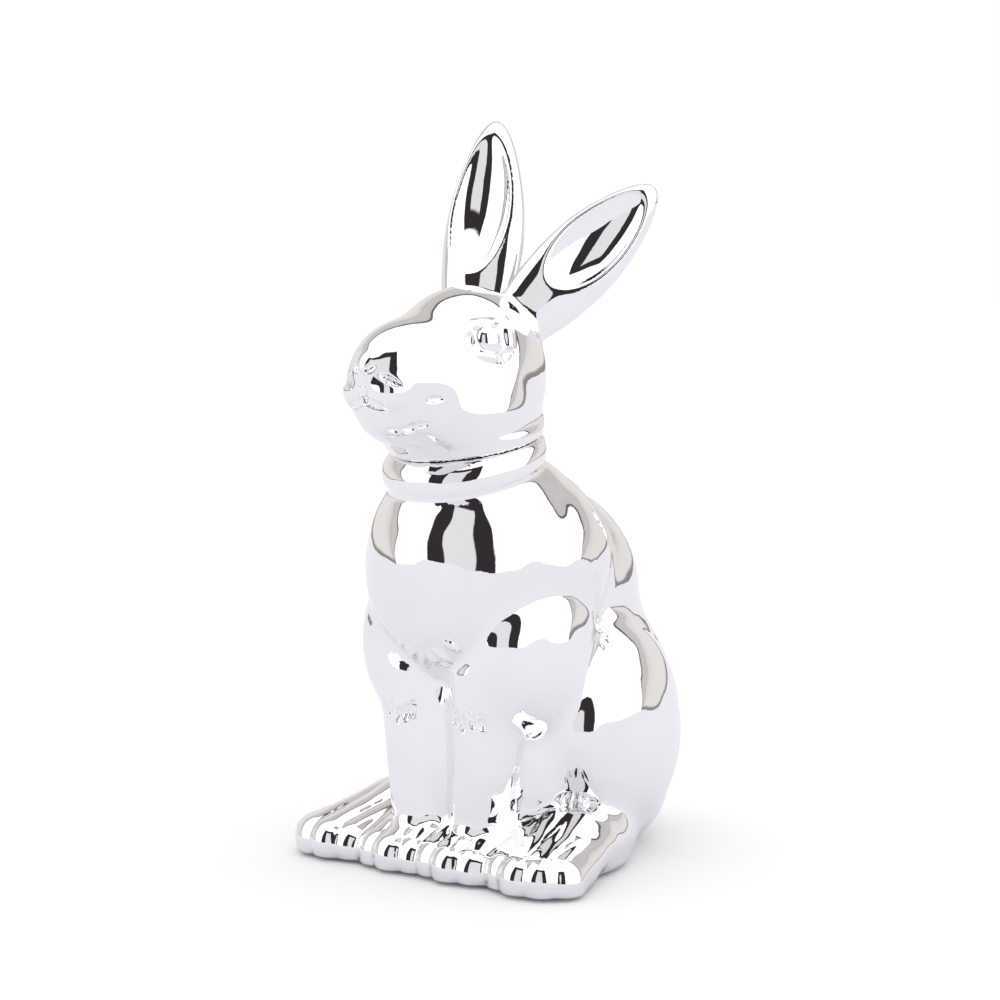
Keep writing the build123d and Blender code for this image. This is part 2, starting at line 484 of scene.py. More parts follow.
@dataclass(frozen=True)
class Drum(Clay):
    """A round block between two heights on a leaning axis."""

    centre: Vec3
    lean: float
    radius: float
    bottom: float
    top: float
    edge: float = 1.0

    def distance(self, points: np.ndarray) -> np.ndarray:
        """Return how far each of the points lies outside the block."""
        height, radius = around(points, self.centre, self.lean)
        ends = np.maximum(height - self.top, self.bottom - height)
        return blend_max(radius - self.radius, ends, self.edge)

    def add_clay(self) -> None:
        """Add the block as a cylinder."""
        middle = (self.top + self.bottom) / 2
        place = leaning_place(self.centre, self.lean) @ Matrix.Translation((0, 0, middle))
        add_cylinder(place, self.radius, self.top - self.bottom)


@dataclass(frozen=True)
class Groove(Clay):
    """The room outside a round floor, between two heights on a leaning axis."""

    centre: Vec3
    lean: float
    radius: float
    bottom: float
    top: float

    def distance(self, points: np.ndarray) -> np.ndarray:
        """Return how far each of the points lies outside the groove."""
        height, radius = around(points, self.centre, self.lean)
        ends = np.maximum(height - self.top, self.bottom - height)
        return np.maximum(self.radius - radius, ends)


@dataclass(frozen=True)
class Group(Clay):
    """Several lumps joined closely first and then worked in as one."""

    lumps: tuple[Clay, ...]

    def distance(self, points: np.ndarray) -> np.ndarray:
        """Return how far each point lies outside the group."""
        return blended(self.lumps, points)

    def add_clay(self) -> None:
        """Add every lump of the group."""
        for lump in self.lumps:
            lump.add_clay()


@dataclass(frozen=True)
class Ear(Clay):
    """A long leaf-shaped ear with a hollow on the side it faces."""

    root: Vec3
    tip: Vec3
    width: float
    facing: Vec3
    hollow_shift: float
    thickness: float = 7.5
    point: float = 0.28          # how much slimmer the leaf gets towards its tip
    past_tip: float = 1.2        # share of the length where it stops getting slimmer
    hollow_middle: float = 0.33
    hollow_share: float = 0.62
    hollow_offset: float = 9.4
    hollow_depth: float = 10.5
    rim: float = 2.2
    edge: float = 2.4

    def axes(self) -> np.ndarray:
        """Return the ear's own axes as columns: across it, along it, and the way it faces."""
        along = unit(np.array(self.tip) - np.array(self.root))
        face = np.array(self.facing, float)
        face = unit(face - (face @ along) * along)
        return np.stack([np.cross(along, face), along, face], axis=1)

    def half_length(self) -> float:
        """Return half the length from root to tip."""
        return float(np.linalg.norm(np.array(self.tip) - np.array(self.root))) / 2

    def middle(self) -> np.ndarray:
        """Return the point halfway from root to tip."""
        return (np.array(self.root) + np.array(self.tip)) / 2

    def leaf_size(self) -> Vec3:
        """Return the half sizes of the leaf."""
        return (self.width / 2, self.half_length(), self.thickness)

    def hollow_centre(self) -> Vec3:
        """Return the middle of the hollowing ball in the ear's own axes."""
        return (self.hollow_shift, self.hollow_middle * self.half_length(), self.hollow_offset)

    def hollow_size(self) -> Vec3:
        """Return the half sizes of the hollowing ball."""
        across = self.width / 2 - self.rim
        return (across, self.hollow_share * self.half_length(), self.hollow_depth)

    def distance(self, points: np.ndarray) -> np.ndarray:
        """Return how far each of the points lies outside the ear."""
        local = (points - self.middle()) @ self.axes()
        rise = np.clip(local[:, 1] / self.half_length(), 0.0, self.past_tip)
        local[:, 0] *= 1.0 + self.point * rise * rise
        leaf = oval_distance(local, self.leaf_size())
        hollow = oval_distance(local - np.array(self.hollow_centre()), self.hollow_size())
        return blend_max(leaf, -hollow, self.edge)

    def place(self) -> Matrix:
        """Return the placement of the ear's own axes."""
        turn = Matrix(self.axes().tolist()).to_4x4()
        return Matrix.Translation(self.middle().tolist()) @ turn

    def add_clay(self) -> None:
        """Add the leaf as one flattened ball."""
        add_ball(self.place() @ Matrix.Diagonal(self.leaf_size() + (1.0,)))

    def add_hollow(self) -> None:
        """Add the ball that hollows the ear."""
        size = Matrix.Diagonal(self.hollow_size() + (1.0,))
        add_ball(self.place() @ Matrix.Translation(self.hollow_centre()) @ size)


@dataclass(frozen=True)
class HalfSpace:
    """Everything on the far side of a plane, which a trim cuts away."""

    centre: Vec3
    normal: Vec3
    soft: float

    def distance(self, points: np.ndarray) -> np.ndarray:
        """Return how far each point lies past the plane."""
        return (points - np.array(self.centre)) @ unit(self.normal)


@dataclass(frozen=True)
class Mark:
    """A small stroke pressed into or laid on the finished surface.

    The spot is near the surface; the stroke lies along the heading, square to the surface.
    """

    spot: Vec3
    heading: Vec3
    radii: Vec3
    sink: float
    soft: float
    stroke: Stroke = Stroke.CARVE


def both_sides(marks: Iterable[Mark]) -> list[Mark]:
    """Return the marks of the left side and their twins on the right side."""
    flip = np.array((-1.0, 1.0, 1.0))
    left = list(marks)
    return left + [
        replace(mark, spot=tuple(mark.spot * flip), heading=tuple(mark.heading * flip))
        for mark in left
    ]


Pressed = tuple[np.ndarray, np.ndarray, Mark]  # where a mark lies, its own axes, and the mark


# --------------------------------------------------------------------------- sculpting
@dataclass
class Sculpt:
    """A clay form: lumps worked one after another into one smooth skin."""

    name: str
    lumps: list[Clay]
    hollows: list[Clay]
    trims: list[HalfSpace]
    marks: list[Mark]
    voxel: float
    ripple: float
    fine_spots: Sequence[tuple[Vec3, float]] = ()
    late: Sequence[Clay] = ()
    rounds: int = 12
    pressed: list[Pressed] = field(default_factory=list)

    def distance(self, points: np.ndarray) -> np.ndarray:
        """Measure points against the finished form.

        Args:
            points: Places in sculpt millimetres.

        Returns:
            How far each point lies outside the form.
        """
        folded = points.copy()
        folded[:, 0] = np.sqrt(points[:, 0] ** 2 + PAIR_SOFTNESS**2)
        total = np.full(len(points), FAR)
        for lump in self.lumps:
            value = lump.distance(folded if lump.paired else points)
            total = lump.stroke.work(total, value, lump.soft)
        for pressed in self.pressed:
            self.press(total, points, pressed)
        total = total + self.ripple * hand_ripple(points)
        for trim in self.trims:
            total = blend_max(total, trim.distance(points), trim.soft)
        for lump in self.late:
            total = lump.stroke.work(total, lump.distance(points), lump.soft)
        return blend_max(total, -blended(self.hollows, points), HOLLOW_EDGE)

    def press(self, total: np.ndarray, points: np.ndarray, pressed: Pressed) -> None:
        """Work one small stroke into the distances of the points near it.

        Args:
            total: Distance of each point, changed in place.
            points: The points.
            pressed: The stroke and how it lies.
        """
        spot, turn, mark = pressed
        offset = points - spot
        reach = max(mark.radii) + 2.0 * mark.soft
        near = np.nonzero(np.einsum("ij,ij->i", offset, offset) < reach * reach)[0]
        if len(near):
            value = oval_distance(offset[near] @ turn, mark.radii)
            total[near] = mark.stroke.work(total[near], value, mark.soft)

    def slope(self, points: np.ndarray) -> np.ndarray:
        """Return the gradient of the distance at each of the points."""
        corners = np.array([(1, 1, 1), (1, -1, -1), (-1, 1, -1), (-1, -1, 1)], float)
        total = np.zeros_like(points)
        for corner in corners:
            value = self.distance(points + SLOPE_STEP * corner)
            total += value[:, None] * corner
        return total / (4 * SLOPE_STEP)

    def drawn(self, points: np.ndarray) -> np.ndarray:
        """Return the points moved one step towards the surface."""
        slope = self.slope(points)
        steep = np.maximum(np.einsum("ij,ij->i", slope, slope), LEAST_SLOPE)
        step = np.clip(self.distance(points), -LONGEST_STEP, LONGEST_STEP) / steep
        return points - step[:, None] * slope

    def press_marks(self) -> None:
        """Find where each mark meets the plain surface and which way it lies."""
        found = []
        for mark in self.marks:
            spot = np.array([mark.spot], float)
            for _ in range(MARK_ROUNDS):
                spot = self.drawn(spot)
            normal = unit(self.slope(spot)[0])
            heading = np.array(mark.heading, float)
            heading = unit(heading - (heading @ normal) * normal)
            turn = np.stack([np.cross(heading, normal), heading, normal], axis=1)
            found.append((spot[0] - mark.sink * normal, turn, mark))
        self.pressed = found

    def block_out(self, voxel: float) -> bpy.types.Object:
        """Build the rough closed form from balls, cones and blocks.

        Args:
            voxel: Size of its faces in millimetres.

        Returns:
            The rough form.
        """
        piece = joined_clay(self.name, [lump.add_clay for lump in self.lumps])
        apply_remesh(piece, voxel * ROUGH_FACES)
        for trim in self.trims:
            apply_trim(piece, trim.centre, trim.normal)
        late = [lump.add_clay for lump in self.late if lump.stroke is Stroke.ADD]
        if late:
            apply_cut(piece, joined_clay(self.name + "_late", late), "UNION")
        cut = [hollow.add_clay for hollow in self.hollows]
        cut += [lump.add_hollow for lump in self.lumps if isinstance(lump, Ear)]
        cutter = joined_clay(self.name + "_hollow", cut)
        apply_remesh(cutter, voxel * ROUGH_FACES)
        apply_cut(piece, cutter, "DIFFERENCE")
        apply_remesh(piece, voxel)
        return piece

    def settle(self, piece: bpy.types.Object, rounds: int) -> None:
        """Draw every point of the rough form onto the smooth form.

        Args:
            piece: The rough form.
            rounds: How often the points are evened out and drawn in.
        """
        mesh = piece.data
        points = sculpt_points(mesh.vertices, "co")
        edges = np.empty(len(mesh.edges) * 2, dtype=np.int64)
        mesh.edges.foreach_get("vertices", edges)
        edges = edges.reshape(-1, 2)
        for left in range(rounds, 0, -1):
            if left > DRAWN_ROUNDS:
                for _ in range(3 if left > CALM_ROUNDS else 1):
                    points = evened(points, edges)
            points = self.drawn(points)
        metres = (points + np.array(SCULPT_DATUM)) * MM
        mesh.vertices.foreach_set("co", metres.ravel())
        mesh.update()

    def refine(self, piece: bpy.types.Object, closely: bool) -> None:
        """Split the faces round fine details into smaller ones.

        Args:
            piece: The settled form.
            closely: Whether only the strokes themselves are split, not the room round them.
        """
        centres = sculpt_points(piece.data.polygons, "center")
        chosen = np.zeros(len(centres), dtype=bool)
        for spot, turn, mark in self.pressed:
            if closely:
                chosen |= oval_distance((centres - spot) @ turn, mark.radii) < CLOSE_ROOM
            else:
                chosen |= length_of(centres - spot) < max(mark.radii) + WIDE_ROOM
        for spot, reach in () if closely else self.fine_spots:
            chosen |= length_of(centres - np.array(spot)) < reach
        select_faces(piece, chosen)
        with edit_mode():
            bpy.ops.mesh.subdivide(number_cuts=1)

    def build(self) -> bpy.types.Object:
        """Build the finished sculpted piece.

        Returns:
            The smooth closed piece, in metres.
        """
        piece = self.block_out(self.voxel)
        self.settle(piece, self.rounds)
        self.press_marks()
        for closely, rounds in ((False, WIDE_ROUNDS), (True, CLOSE_ROUNDS)):
            self.refine(piece, closely)
            self.settle(piece, rounds)
        select_only(piece)
        bpy.ops.object.shade_smooth()
        return piece


# --------------------------------------------------------------------------- sub-assemblies
@dataclass(frozen=True, kw_only=True)
class SubAssembly:
    """What every sub-assembly has: the body it rides on, the node it stands for and its slot."""

    body: str
    node: str
    slot: str

    def build(self) -> bpy.types.Object:
        """Build the bare piece."""
        raise NotImplementedError

    def dress(self, piece: bpy.types.Object, finish: bpy.types.Material) -> None:
        """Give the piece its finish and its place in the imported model.

        Args:
            piece: The bare piece.
            finish: Its material.
        """
        piece.data.materials.append(finish)
        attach(piece, self.body)
        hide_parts(self.node)


@dataclass(frozen=True)
class Neck:
    """Where the head meets the body: the leaning seam, the bore, the spigot and its groove."""

    lean: float = 11.0
    centre: Vec3 = (0.0, -17.0, 174.0)
    seam_gap: float = 0.4
    seam_edge: float = 0.5
    bore_radius: float = 26.5
    spigot_radius: float = 23.9
    spigot_bore: float = 20.3
    spigot_length: float = 20.0
    groove_radius: float = 22.5
    groove_low: float = -13.0
    groove_high: float = -5.0
    wall: float = 4.5

    def trim(self, side: float, height: float = 0.0) -> HalfSpace:
        """Return what lies past the seam: above it for the side 1, below it for -1."""
        axis = lean_axis(self.lean)
        spot = np.array(self.centre) + axis * height
        return HalfSpace(tuple(spot.tolist()), tuple((axis * side).tolist()), self.seam_edge)

    def block(self, radius: float, bottom: float, top: float, soft: float,
              edge: float = 1.0) -> Drum:
        """Return a round block between two heights on the neck's axis."""
        return Drum(self.centre, self.lean, radius, bottom, top, edge, soft=soft)

    def spigot(self) -> list[Clay]:
        """Return the spigot under the head and the groove that holds the seal."""
        shaft = self.block(self.spigot_radius, -self.spigot_length, self.wall, 0.6, 0.8)
        groove = Groove(self.centre, self.lean, self.groove_radius, self.groove_low,
                        self.groove_high, soft=0.4, stroke=Stroke.CARVE)
        return [shaft, groove]


NECK = Neck()


def toe_row(roots: Sequence[Vec3], tips: Sequence[Vec3], radius: float) -> Group:
    """Make a row of tall soft toes from the top of a foot to the floor.

    Args:
        roots: Where the toes start on the foot.
        tips: Where they end.
        radius: Radius of a toe at its tip.

    Returns:
        The joined row.
    """
    toes = tuple(
        Limb(tip, root, radius, radius * 0.96, soft=0.9, paired=True)
        for root, tip in zip(roots, tips)
    )
    return Group(toes, soft=6.0, paired=True)


@dataclass(frozen=True)
class JarBody(SubAssembly):
    """The hollow trunk with its bib, collar, haunches, legs, toes and tail."""

    body: str = "jar"
    node: str = "jar_body"
    slot: str = "silvered_body"
    voxel: float = 1.8
    ripple: float = 0.16
    floor_edge: float = 1.2
    rump: Lump = Lump((0, 46, 56), (51, 52, 58), (10, 0, 0))
    base: Lump = Lump((0, 38, 24), (50, 56, 34), soft=10)
    back: Lump = Lump((0, 32, 108), (42, 42, 46), (-20, 0, 0), soft=20)
    haunch: Lump = Lump((40, 30, 54), (25, 40, 46), (10, 0, 8), soft=9, paired=True)
    flank: Lump = Lump((24, -2, 44), (20, 19, 52), soft=10, paired=True)
    shoulder: Lump = Lump((27, -9, 92), (24, 32, 38), soft=8, paired=True)
    leg: Limb = Limb((19.0, -23, 80), (15.0, -28, 14), 18, 11.5, soft=7, paired=True)
    between_legs: Lump = Lump((0, -19, 46), (13, 15, 50), soft=9)
    hind_foot: Lump = Lump((45, 6, 12), (17, 32, 17), (0, 0, 12), soft=9, paired=True)
    between_feet: Lump = Lump((30, -12, 6), (20, 20, 15), soft=10, paired=True)
    paw: Lump = Lump((13, -24, 7), (16, 13, 13), soft=9, paired=True)
    front_toes: Group = toe_row(
        ((5.4, -29, 11.5), (15.0, -30, 13.0), (24.6, -28, 11.5)),
        ((5.2, -42.5, 6.2), (15.2, -45.0, 6.6), (25.0, -42.5, 6.2)),
        9.6,
    )
    hind_toes: Group = toe_row(
        ((37.0, -14, 14.0), (44.0, -11, 17.0), (50.5, -8, 16.5), (54.5, -4, 13.0)),
        ((40.5, -41.0, 6.4), (49.8, -44.5, 7.0), (58.8, -43.0, 7.0), (63.8, -37.5, 6.4)),
        10.0,
    )
    chest: Lump = Lump((0, -9, 122), (47, 46, 52), (12, 0, 0), soft=3.5)
    ruff: Lump = Lump((0, 3, 124), (49, 45, 44), soft=3.5)
    neck_ruff: Lump = Lump((0, 2, 150), (35, 29, 22), (-22, 0, 0), soft=3.0)
    tail: Lump = Lump((0, 92, 26), (16, 12, 15))
    collar: Ring = Ring((0.0, -18.5, 167.0), 17.0, 23.0, 11.0, 9.5, soft=2.4)
    rim: Drum = NECK.block(31.6, -4.0, 3.0, 1.6)
    rump_hollow: Lump = Lump((0, 46, 57), (46.5, 47.5, 50), soft=8)
    back_hollow: Lump = Lump((0, 32, 108), (37.5, 37.5, 41.5), (-20, 0, 0), soft=8)
    chest_hollow: Lump = Lump((0, -9, 122), (42.5, 41.5, 47.5), (12, 0, 0), soft=8)
    neck_bore: Drum = NECK.block(NECK.bore_radius, -42.0, 4.0, 2.0)
    foot_spots: tuple[tuple[Vec3, float], ...] = (
        ((15.0, -42.0, 12.0), 22.0), ((-15.0, -42.0, 12.0), 22.0),
        ((52.0, -34.0, 13.0), 27.0), ((-52.0, -34.0, 13.0), 27.0),
    )
    # across, height, lean and length of each tuft at the tip of the bib
    tufts: tuple[tuple[float, float, float, float], ...] = (
        (-13.0, 92.5, -0.75, 4.2), (-7.5, 87.5, -0.45, 5.0), (-2.0, 84.5, -0.15, 5.4),
        (3.5, 85.5, 0.2, 5.2), (9.0, 88.5, 0.55, 5.6), (15.0, 94.5, 0.8, 4.2),
    )
    fringe_strokes: int = 5
    # spot, heading and length of each edge of the fur layers behind the bib
    fur_edges: tuple[tuple[Vec3, Vec3, float], ...] = (
        ((44, 8, 116), (0.15, 0.35, -1.0), 15.0),
        ((40, 18, 138), (0.1, 0.4, -1.0), 11.0),
        ((47, 14, 96), (-0.1, -0.3, -1.0), 10.0),
    )
    elbow: tuple[Mark, ...] = (
        Mark((35.0, -12.0, 100.0), (-0.1, 0.5, -1.0), (2.0, 9.0, 2.2), 0.4, 1.8),
        Mark((38.5, -6.0, 94.0), (-0.1, 0.5, -1.0), (1.8, 7.0, 2.0), 0.4, 1.6),
    )
    ankle: Mark = Mark((46.0, -4.0, 30.0), (1.0, 0.25, 0.0), (2.4, 9.5, 2.6), 0.2, 3.0)

    def lumps(self) -> list[Clay]:
        """Return the lumps in the order they are worked: trunk and limbs, then the fur on them."""
        return [
            self.rump, self.base, self.back, self.haunch, self.flank, self.shoulder, self.leg,
            self.between_legs, self.hind_foot, self.between_feet, self.paw, self.front_toes,
            self.hind_toes, self.chest, self.ruff, self.neck_ruff, self.tail, self.collar, self.rim,
        ]

    def fringe(self) -> list[Mark]:
        """Return the short fur strokes across the left front leg."""
        return [
            Mark((8.0 + 4.4 * step, -44 + 1.1 * step, 66.0 - 1.2 * (step % 3)), (0.1, 0.1, -1.0),
                 (1.3, 3.6, 1.5), 0.2, 1.1)
            for step in range(self.fringe_strokes)
        ]

    def marks(self) -> list[Mark]:
        """Return all the strokes: bib, legs, elbows and ankles, then the fur layers."""
        bib = [
            Mark((x, -46.0, z), (lean, 0.2, -1.0), (2.3, length, 2.6), 1.0, 1.1, Stroke.ADD)
            for x, z, lean, length in self.tufts
        ]
        layers = [
            Mark(spot, heading, (1.7, length, 1.7), 0.1, 1.8)
            for spot, heading, length in self.fur_edges
        ]
        return bib + both_sides([*self.fringe(), *self.elbow, self.ankle]) + both_sides(layers)

    def build(self) -> bpy.types.Object:
        """Build the hollow body, open at the neck and flat over the pads.

        Returns:
            The bare piece.
        """
        floor = HalfSpace((0, 0, PAD_THICKNESS), (0, 0, -1), self.floor_edge)
        hollows = [self.rump_hollow, self.back_hollow, self.chest_hollow, self.neck_bore]
        return Sculpt(
            "jar_skin", self.lumps(), hollows, [NECK.trim(1.0), floor], self.marks(),
            self.voxel, self.ripple, fine_spots=self.foot_spots,
        ).build()


@dataclass(frozen=True)
class RabbitHead(SubAssembly):
    """The hollow lift-off head with its ears, face and spigot."""

    body: str = "head"
    node: str = "head_lid"
    slot: str = "silvered_head"
    voxel: float = 1.13
    ripple: float = 0.06
    skull: Lump = Lump((0, -17, 201), (30, 36.5, 37))
    muzzle: Lump = Lump((0, -53, 199.5), (21, 28, 25), (-8, 0, 0), soft=22)
    jowl: Lump = Lump((14.5, -30, 189), (12, 13, 12), soft=10, paired=True)
    jaw: Lump = Lump((0, -27, 186), (30, 33, 19), soft=12)
    neck_rim: Drum = NECK.block(31.0, -3.0, 4.0, 12.0)
    chin: Lump = Lump((0, -61, 187), (12, 14, 9), soft=9)
    whisker_pad: Lump = Lump((7.3, -71, 196.5), (8.2, 9, 8.2), soft=3, paired=True)
    nose: Lump = Lump((0, -74, 206), (7.5, 7.5, 7.5), soft=2.5)
    left_ear: Ear = Ear((4.5, -3.6, 213.5), (53, 40, 278), 33.0, (0.66, -1.0, 0.16), -1.2, soft=5.0)
    right_ear: Ear = Ear((-10, -2, 204), (-27, 37, 308), 35.0, (0.34, -1.0, 0.28), -1.8, soft=5.0)
    skull_hollow: Lump = Lump((0, -17, 203), (24.5, 31, 29), soft=6)
    muzzle_hollow: Lump = Lump((0, -50, 200), (15, 21, 17), (-8, 0, 0), soft=8)
    spigot_bore: Drum = NECK.block(NECK.spigot_bore, -30.0, 14.0, 2.0)
    cleft: Mark = Mark((0, -81, 199.0), (0, 0, 1), (2.0, 5.5, 3.0), 0.2, 1.6)
    whisker_dashes: int = 4

    def eyes(self) -> list[Mark]:
        """Return the left eye: socket, ball, brow, outer lid, lower lid and both corners."""
        return [
            Mark((26.0, -33.5, 218.5), (0.1, 0.1, 1.0), (9.5, 9.5, 6.0), -4.0, 2.4),
            Mark((26.0, -32.5, 218.0), (0.1, 0.1, 1.0), (5.8, 6.6, 5.0), 2.5, 1.3, Stroke.ADD),
            Mark((25.5, -35.5, 226.5), (-0.7, -0.8, -0.35), (2.4, 8.0, 2.6), 1.2, 2.4, Stroke.ADD),
            Mark((29.3, -23.0, 220.0), (0.0, 0.2, 1.0), (2.4, 8.0, 2.8), 1.0, 2.0, Stroke.ADD),
            Mark((25.5, -34.0, 209.6), (0.6, 0.75, -0.1), (2.0, 7.2, 2.4), 1.0, 1.6, Stroke.ADD),
            Mark((23.0, -41.5, 216.5), (0.2, 0.1, 1.0), (2.2, 4.4, 2.6), 0.1, 1.5),
            Mark((27.0, -27.0, 210.0), (0.5, 0.8, 0.5), (2.2, 5.4, 2.4), 0.1, 1.7),
        ]

    def mouth(self) -> list[Mark]:
        """Return the left nostril, mouth line, whisker pad arc and two cheek strokes."""
        return [
            Mark((3.4, -81.0, 206.0), (1.0, 0.5, 0.5), (1.4, 2.6, 1.8), 0.1, 1.1),
            Mark((4.4, -79.5, 192.0), (1.0, 0.35, -0.3), (1.8, 6.0, 2.6), 0.2, 1.6),
            Mark((10.0, -75.5, 200.5), (0.7, 0.7, -0.6), (1.6, 5.0, 2.0), 0.1, 1.6),
            Mark((19.5, -61.0, 194.0), (0.55, 0.8, 0.0), (1.4, 4.0, 1.7), 0.0, 1.3),
            Mark((13.0, -63.5, 185.0), (0.6, 0.75, -0.05), (1.5, 4.2, 1.9), 0.1, 1.2),
        ]

    def dashes(self) -> list[Mark]:
        """Return the short fur dashes in two rows under the left side of the chin."""
        return [
            Mark((6.0 + 3.6 * (step % 2), -69.0 + 3.0 * (step % 2), 188.0 - 3.6 * (step // 2)),
                 (0.6, 0.75, -0.1), (1.2, 2.8, 1.6), -0.1, 1.1)
            for step in range(self.whisker_dashes)
        ]

    def build(self) -> bpy.types.Object:
        """Build the hollow head, cut off at the seam, with its spigot below.

        Returns:
            The bare piece.
        """
        lumps = [self.skull, self.muzzle, self.jowl, self.jaw, self.neck_rim, self.chin,
                 self.whisker_pad, self.nose, self.left_ear, self.right_ear]
        hollows = [self.skull_hollow, self.muzzle_hollow, self.spigot_bore]
        marks = [self.cleft] + both_sides(self.eyes() + self.mouth() + self.dashes())
        return Sculpt(
            "head_skin", lumps, hollows, [NECK.trim(-1.0, NECK.seam_gap)], marks,
            self.voxel, self.ripple, late=NECK.spigot(),
        ).build()


@dataclass(frozen=True)
class LidSeal(SubAssembly):
    """The ribbed silicone ring in the groove of the spigot."""

    body: str = "seal"
    node: str = "lid_seal"
    slot: str = "seal_silicone"
    inner: float = NECK.groove_radius + 0.05
    outer: float = NECK.bore_radius - 0.3
    top: float = NECK.groove_high - 0.1
    bottom: float = NECK.groove_low + 0.1
    corner: float = 0.35
    ribs: int = 3
    rib_rise: float = 1.0
    rib_round: float = 0.7       # below 1 the ribs are fuller than a sine
    rib_start: float = 0.12      # share of the pitch before a rib
    rib_share: float = 0.76      # share of the pitch that a rib takes
    rib_steps: int = 8
    sections: int = 96
    sharp_angle: float = 50.0

    def profile(self) -> list[Span]:
        """Draw the ring's cross-section.

        Returns:
            Radius and height of each corner.
        """
        band = self.outer - self.rib_rise
        points = [(self.inner, self.bottom + self.corner), (self.inner + self.corner, self.bottom),
                  (band - self.corner, self.bottom)]
        pitch = (self.top - self.bottom) / self.ribs
        for rib in range(self.ribs):
            start = self.bottom + rib * pitch
            for step in range(self.rib_steps + 1):
                share = step / self.rib_steps
                radius = band + self.rib_rise * math.sin(math.pi * share) ** self.rib_round
                points.append((radius, start + (self.rib_start + self.rib_share * share) * pitch))
        return points + [(band - self.corner, self.top), (self.inner + self.corner, self.top),
                         (self.inner, self.top - self.corner)]

    def build(self) -> bpy.types.Object:
        """Spin the cross-section into a ring and lean it with the neck.

        Returns:
            The bare ring.
        """
        profile = self.profile()
        select_only(None)
        bpy.ops.mesh.primitive_circle_add(vertices=len(profile), radius=1.0)
        ring = bpy.context.object
        ring.name = ring.data.name = "silicone_seal"
        for vertex, (radius, height) in zip(ring.data.vertices, profile):
            vertex.co = (radius, 0.0, height)
        with edit_mode(everything=True):
            bpy.ops.mesh.spin(steps=self.sections, angle=math.tau, center=(0, 0, 0), axis=(0, 0, 1))
            bpy.ops.mesh.select_all(action="SELECT")
            bpy.ops.mesh.remove_doubles(threshold=1e-6)
            bpy.ops.mesh.normals_make_consistent(inside=False)
        ring.data.transform(to_metres(leaning_place(NECK.centre, NECK.lean)))
        ring.data.update()
        select_only(ring)
        bpy.ops.object.shade_smooth_by_angle(angle=math.radians(self.sharp_angle))
        return ring


@dataclass(frozen=True)
class FloorPad(SubAssembly):
    """A stick-on felt disc with a soft pressed edge."""

    body: str = "jar"
    node: str = PAD_NODES[0]
    slot: str = "pad_felt"
    edge: float = 0.35
    edge_steps: int = 3
    crown_steps: int = 5
    rim_start: float = 0.9       # share of the radius where the uneven rim starts
    rim_pull: float = 0.006
    rim_waves: Span = (2900.0, 2700.0)
    rim_shift: float = 0.6
    sharp_angle: float = 40.0

    def build(self) -> bpy.types.Object:
        """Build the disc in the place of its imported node.

        Returns:
            The bare disc.
        """
        low, high = (Vector(corner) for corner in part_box(self.node))
        radius = (high.x - low.x) / 2
        centre = (low + high) / 2
        select_only(None)
        bpy.ops.mesh.primitive_cylinder_add(
            vertices=72, radius=radius, depth=high.z - low.z, end_fill_type="NGON", location=centre)
        pad = bpy.context.object
        pad.name = pad.data.name = self.node.replace("pad_", "felt_")
        bpy.ops.object.transform_apply(location=True, rotation=True, scale=True)
        with edit_mode(everything=True):
            bpy.ops.mesh.bevel(offset=self.edge * MM, segments=self.edge_steps, affect="EDGES")
        select_faces(pad, np.array([abs(face.normal.z) > 0.99 for face in pad.data.polygons]))
        with edit_mode():
            for _ in range(self.crown_steps):
                bpy.ops.mesh.inset(thickness=radius / (self.crown_steps + 2))
        for vertex in pad.data.vertices:
            away = vertex.co - centre
            if math.hypot(away.x, away.y) / radius > self.rim_start:
                wave = math.sin(away.x * self.rim_waves[0])
                wave *= math.sin(away.y * self.rim_waves[1] + self.rim_shift)
                vertex.co.x -= away.x * self.rim_pull * (1.0 + wave)
                vertex.co.y -= away.y * self.rim_pull * (1.0 + wave)
        pad.data.update()
        select_only(pad)
        bpy.ops.object.shade_smooth_by_angle(angle=math.radians(self.sharp_angle))
        return pad


